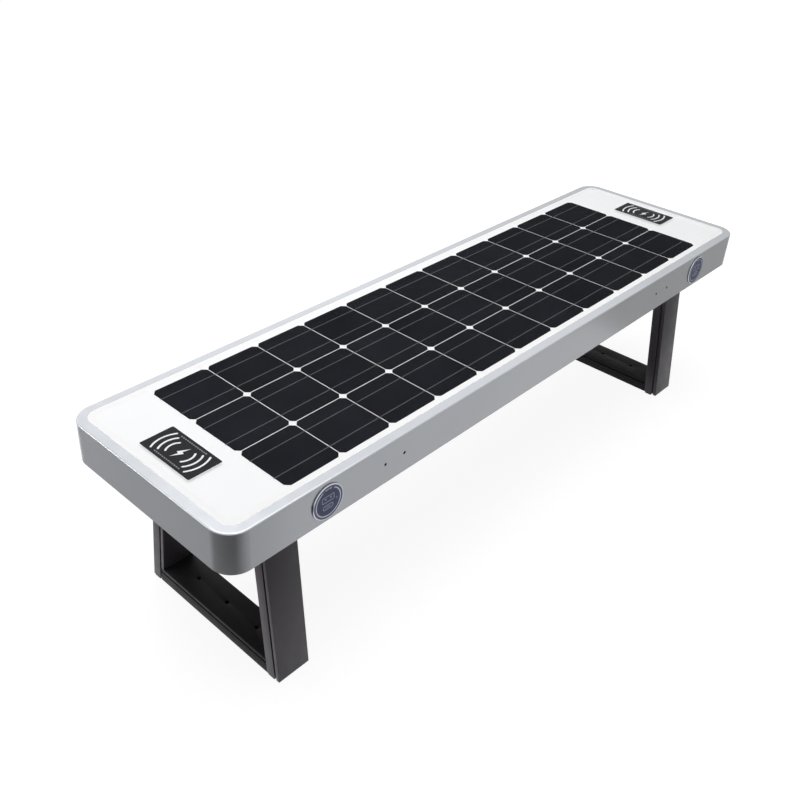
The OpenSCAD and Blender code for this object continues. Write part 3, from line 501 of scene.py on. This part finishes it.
def arc_band(cx, cy, radius, a0, a1, stroke, steps=20):
    """An arc drawn with a round-ended pen."""
    half = stroke / 2
    pts = arc(cx, cy, radius + half, a0, a1, steps)
    pts += pen_end(cx, cy, radius, a1, half, 0)
    pts += arc(cx, cy, radius - half, a1, a0, steps)
    pts += pen_end(cx, cy, radius, a0, half, math.pi)
    return pts


def bar(x0, y0, x1, y1):
    return [(x0, y0), (x1, y0), (x1, y1), (x0, y1)]


def box_corners(cx, cy, w, h, r):
    """Centre and first angle of each corner arc of a rounded box."""
    return [(cx + qx * (w / 2 - r), cy + qy * (h / 2 - r), math.radians(start))
            for qx, qy, start in ((1, 1, 0), (-1, 1, 90), (-1, -1, 180), (1, -1, 270))]


def round_box(cx, cy, w, h, r, steps=6):
    return [point for ox, oy, a in box_corners(cx, cy, w, h, r)
            for point in arc(ox, oy, r, a, a + math.pi / 2, steps)]


def frame_band(cx, cy, w, h, r, stroke):
    """A rounded box drawn as four straight bars and four corner arcs."""
    half = stroke / 2
    out = [
        bar(cx - w / 2 + r, cy + h / 2 - half, cx + w / 2 - r, cy + h / 2 + half),
        bar(cx - w / 2 + r, cy - h / 2 - half, cx + w / 2 - r, cy - h / 2 + half),
        bar(cx - w / 2 - half, cy - h / 2 + r, cx - w / 2 + half, cy + h / 2 - r),
        bar(cx + w / 2 - half, cy - h / 2 + r, cx + w / 2 + half, cy + h / 2 - r),
    ]
    for ox, oy, a in box_corners(cx, cy, w, h, r):
        end = a + math.pi / 2
        out.append(arc(ox, oy, r + half, a, end, 6) + arc(ox, oy, r - half, end, a, 6))
    return out


def bolt_mark(cx, cy, size):
    """A lightning bolt lying along u, its outline in hundredths of its length."""
    half = [(-50, 13.5), (-10, 3.5), (-5, 18.5)]
    shape = half + [(-u, -v) for u, v in half]
    return [(cx + size * u / 100, cy + size * v / 100) for u, v in reversed(shape)]


def solid_print(name, shapes, place, z0, z1, mat, body):
    """Flat outlines pulled up from z0 to z1; place turns a point (u, v, w) into the bench's frame."""
    bm = bmesh.new()
    for outline in shapes:
        low = [bm.verts.new(place(u, v, z0)) for u, v in outline]
        high = [bm.verts.new(place(u, v, z1)) for u, v in outline]
        bm.faces.new(high)
        bm.faces.new(list(reversed(low)))
        for i in range(len(outline)):
            j = (i + 1) % len(outline)
            bm.faces.new((low[i], low[j], high[j], high[i]))
    bmesh.ops.recalc_face_normals(bm, faces=bm.faces)
    o = add_object(name, finished_mesh(name, bm, mat))
    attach(o, body)
    return o


# Panel

def on_sheet(u, v, z):
    return Vector((u, MID_Y + v, z))


def gap_places(count):
    """Middles of the gaps between a number of cells in a line."""
    return [CELL_PITCH * (n - (count - 2) / 2) for n in range(count - 1)]


def fill_cell_gaps():
    """White filler between the wafers, just below their faces."""
    half_x = (CELL_HI.x - CELL_LO.x) / 2 - FILLER_INSET
    half_y = (CELL_HI.y - CELL_LO.y) / 2 - FILLER_INSET
    across = [bar(x - FILLER_HALF, -half_y, x + FILLER_HALF, half_y) for x in gap_places(COLUMNS)]
    along = [bar(-half_x, y - FILLER_HALF, half_x, y + FILLER_HALF) for y in gap_places(ROWS)]
    for name, shapes, drop in (("filler_across", across, DROP_ACROSS), ("filler_along", along, DROP_ALONG)):
        solid_print(name, shapes, on_sheet, CELL_LO.z, CELL_HI.z - drop, BACKSHEET_WHITE, "bench")


def loop(name, rows, mat):
    """A closed loop round the panel; a row of its section is a distance out from the glass and a height."""
    bm = bmesh.new()
    rings = []
    for out, z in rows:
        outline = round_box(0, 0, GLASS_HI.x - GLASS_LO.x + 2 * out, GLASS_HI.y - GLASS_LO.y + 2 * out,
                            GLASS_CORNER + out, 10)
        rings.append([bm.verts.new(on_sheet(u, v, z)) for u, v in outline])
    for a, b in zip(rings, rings[1:] + rings[:1]):
        for i in range(len(a)):
            j = (i + 1) % len(a)
            bm.faces.new((a[i], b[i], b[j], a[j]))
    bmesh.ops.recalc_face_normals(bm, faces=bm.faces)
    o = add_object(name, finished_mesh(name, bm, mat))
    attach(o, "bench")
    return o


def line_panel_edge():
    """A bead of pale sealant in the gap round the glass, and a white border printed on the glass."""
    outer = PANEL_GAP - HAIR
    loop("panel_sealant", [(HAIR, BEAD_FOOT), (HAIR, BEAD_TOP), (PANEL_GAP / 2, BEAD_TOP - BEAD_SAG),
                           (outer, BEAD_TOP), (outer, BEAD_FOOT)], SEALANT_WHITE)
    border = loop("glass_border", [(-BORDER_WIDTH, BORDER_LOW), (-BORDER_WIDTH, BORDER_HIGH),
                                   (-HAIR, BORDER_HIGH), (-HAIR, BORDER_LOW)], BORDER_WHITE)
    # it neither shades nor brightens the sheet below it, so both stay one white
    border.visible_shadow = False
    border.visible_diffuse = False


fill_cell_gaps()
line_panel_edge()


# Labels of the charging spots

def label_marks():
    """Three arcs on each side of a bolt."""
    marks = []
    for s in (-1, 1):
        for apex, chord, sag in LABEL_ARCS:
            radius = (chord * chord / 4 + sag * sag) / (2 * sag)
            half = math.asin(chord / 2 / radius)
            middle = math.pi / 2 * s
            marks.append(arc_band(0, s * (apex - radius), radius, middle - half, middle + half, LABEL_STROKE))
    return marks + [bolt_mark(**LABEL_BOLT)]


def label_dashes():
    """A row of plain dashes on each side, where the label carries words."""
    return [round_box(u, DASH_STEP * k, **DASH)
            for u in (-DASH_ROW, DASH_ROW) for k in range(-DASHES_EACH_WAY, DASHES_EACH_WAY + 1)]


def add_label(side):
    lo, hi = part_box(f"{side}_label")
    cx = (lo.x + hi.x) / 2
    bottom, top = hi.z - PRINT_BOTTOM, hi.z - PRINT_TOP

    def on_label(u, v, z):
        return Vector((cx + u, MID_Y + v, z))

    face = round_box(0, 0, hi.x - lo.x, hi.y - lo.y, LABEL_CORNER)
    base = solid_print(f"{side}_label_face", [face], on_label, lo.z, bottom, LABEL_DARK, "bench")
    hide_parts(f"{side}_label")
    ink = ((f"{side}_label_print", label_marks(), PRINT_WHITE),
           (f"{side}_label_dashes", label_dashes(), PRINT_GREY))
    printed = [solid_print(name, shapes, on_label, bottom, top, mat, "bench")
               for name, shapes, mat in ink]
    # the label lies on glass, so its own shadow would show beside it on the white sheet below
    for o in (base, *printed):
        o.visible_shadow = False


for side in ("left", "right"):
    add_label(side)


# Caps of the charging ports

def cap_marks():
    """Outlines of a wide and a small socket, and a small bolt."""
    marks = frame_band(**WIDE_MARK)
    marks += [round_box(x, **WIDE_CONTACT) for x in WIDE_CONTACTS_X]
    marks += frame_band(**SMALL_MARK)
    return marks + [round_box(**SMALL_TONGUE), DISC_BOLT]


def print_cap(side, port_x):
    body = f"{side}_cap_body"

    def on_port(u, v, w):
        return Vector((port_x + u, FACE_Y + DISH - w, PORT_Z + v))

    circle = arc(0, 0, DISC_RADIUS, 0, math.tau, DISC_SIDES)[:-1]
    solid_print(f"{side}_cap_disc", [circle], on_port, 0.0, DISC_TOP, SLATE, body)
    solid_print(f"{side}_cap_print", cap_marks(), on_port, DISC_TOP, DISC_PRINT_TOP, SLATE_PRINT, body)


print_cap("left", -PORT_X)
print_cap("right", PORT_X)


# Floor

def see_white(nt):
    """1 for rays from the camera, off a glossy surface or through glass, and 0 for the others."""
    lp = node(nt, "ShaderNodeLightPath")
    return calc(nt, "MAXIMUM", calc(nt, "MAXIMUM", lp.outputs["Is Camera Ray"], lp.outputs["Is Glossy Ray"]),
                lp.outputs["Is Transmission Ray"])


def floor_material():
    m, nt = bare_material("floor_white")
    diffuse = node(nt, "ShaderNodeBsdfDiffuse", Color=(0.2, 0.2, 0.2, 1))
    glow = node(nt, "ShaderNodeEmission", Color=WHITE)
    # the lamp's pool ends past the bench, so the glow rises there to keep the floor one white
    far = node(nt, "ShaderNodeVectorMath", operation="LENGTH")
    nt.links.new(node(nt, "ShaderNodeTexCoord").outputs["Object"], far.inputs[0])
    level = map_range(nt, far.outputs["Value"], GLOW_RISE_FROM, GLOW_RISE_TO, GLOW_NEAR, GLOW_FAR)
    nt.links.new(calc(nt, "MULTIPLY", see_white(nt), level), glow.inputs["Strength"])
    add = node(nt, "ShaderNodeAddShader")
    nt.links.new(diffuse.outputs[0], add.inputs[0])
    nt.links.new(glow.outputs[0], add.inputs[1])
    show(nt, add)
    return m


def stage_mesh(name, points, mat):
    me = bpy.data.meshes.new(name)
    me.from_pydata(points, [], [tuple(range(len(points)))])
    me.materials.append(mat)
    o = add_object(name, me)
    return o


def at_height(outline, z):
    return [(x, y, z) for x, y in outline]


stage_mesh("floor", at_height(bar(-FLOOR_HALF, -FLOOR_HALF, FLOOR_HALF, FLOOR_HALF), 0), floor_material())


# Cards that only reflections show

def card(name, points):
    """A card that gives no light yet; its nodes and its shader come back, to set how much."""
    m, nt, p = material(name, (0.01, 0.01, 0.01), 1.0, spec=0.0)
    p.inputs["Emission Color"].default_value = WHITE
    o = stage_mesh(name, points, m)
    o.visible_camera = False
    o.visible_diffuse = False
    o.visible_shadow = False
    o.visible_transmission = False
    return nt, p


def fan_card(name, first, last, level_first, level_last):
    """A fan on the floor between two angles, 0 to the left and 90 to the front, with a level at each."""
    steps = max(2, round((last - first) / FAN_STEP))
    angles = [math.radians(first + (last - first) * i / steps) for i in range(steps + 1)]
    ring = [(FAN_X - r * math.cos(a), FAN_Y - r * math.sin(a))
            for r, turn in ((FAN_INNER, angles), (FAN_OUTER, reversed(angles))) for a in turn]
    nt, p = card(name, at_height(ring, CARD_Z))
    xyz = object_xyz(nt)
    dx = calc(nt, "SUBTRACT", FAN_X, xyz["X"])
    dy = calc(nt, "SUBTRACT", FAN_Y, xyz["Y"])
    fade = map_range(nt, calc(nt, "ARCTAN2", dy, dx), math.radians(first), math.radians(last), level_first,
                     level_last)
    nt.links.new(fade, p.inputs["Emission Strength"])


def plain_card(name, points, level):
    nt, p = card(name, points)
    p.inputs["Emission Strength"].default_value = level


# Round the near corner: grey, then black, then rising to a pale grey
fan_card("card_grey", -86, -40, 0.38, 0.38)
fan_card("card_black", -40, 66, 0.0, 0.0)
fan_card("card_fade", 66, 136, 0.0, 0.85)

# Greys for the far end of the front wall and of the rim, and black under the seat for the far leg
plain_card("card_far_floor", at_height(bar(0.9, -1.1, 3.2, -0.3), CARD_Z), 0.62)
plain_card("card_far_end", [(3.0, y, z) for y, z in bar(-0.6, 0.5, 2.6, 1.9)], 0.5)
plain_card("card_under", at_height(bar(-0.2, -0.2, 0.6, 0.45), CARD_Z), 0.0)


# Light and camera

def light_world():
    """White where it is seen, and a weak fill for everything else."""
    world = bpy.data.worlds.new("studio")
    bpy.context.scene.world = world
    world.use_nodes = True
    nt = world.node_tree
    background = nt.nodes["Background"]
    background.inputs["Color"].default_value = WHITE
    nt.links.new(step(nt, see_white(nt), AMBIENT, 1.0), background.inputs["Strength"])


def lamp(name, place, target, size, power):
    """A rectangular lamp that points at its target; its power is in watts."""
    data = bpy.data.lights.new(name, "AREA")
    data.shape = "RECTANGLE"
    data.size, data.size_y = size
    data.energy = power
    o = add_object(name, data)
    o.location = place
    o.rotation_euler = (Vector(target) - Vector(place)).to_track_quat("-Z", "Y").to_euler()
    o.visible_camera = False


def set_camera():
    data = bpy.data.cameras.new("camera")
    data.sensor_fit = "HORIZONTAL"
    data.sensor_width = CAMERA_SENSOR
    data.lens = CAMERA_LENS
    data.shift_x, data.shift_y = CAMERA_SHIFT
    o = add_object("camera", data)
    o.location = CAMERA_PLACE
    o.rotation_euler = tuple(math.radians(a) for a in CAMERA_TURN)
    bpy.context.scene.camera = o


light_world()
lamp("overhead", (-0.3, 0.35, 3.5), (-0.15, 0, 0.45), (3.4, 3.4), 122)
lamp("front", (-0.5, -3.0, 1.2), (-0.1, 0, 0.3), (2.4, 0.8), 2.2)
lamp("side", (-2.3, 1.4, 0.3), (-0.8, 0, 0.25), (1.2, 0.4), 13)
lamp("rear", (0.1, 1.5, 1.0), (0.1, 0.2, 0.45), (2.2, 0.5), 2.2)
set_camera()
bpy.context.scene.view_settings.view_transform = "Standard"
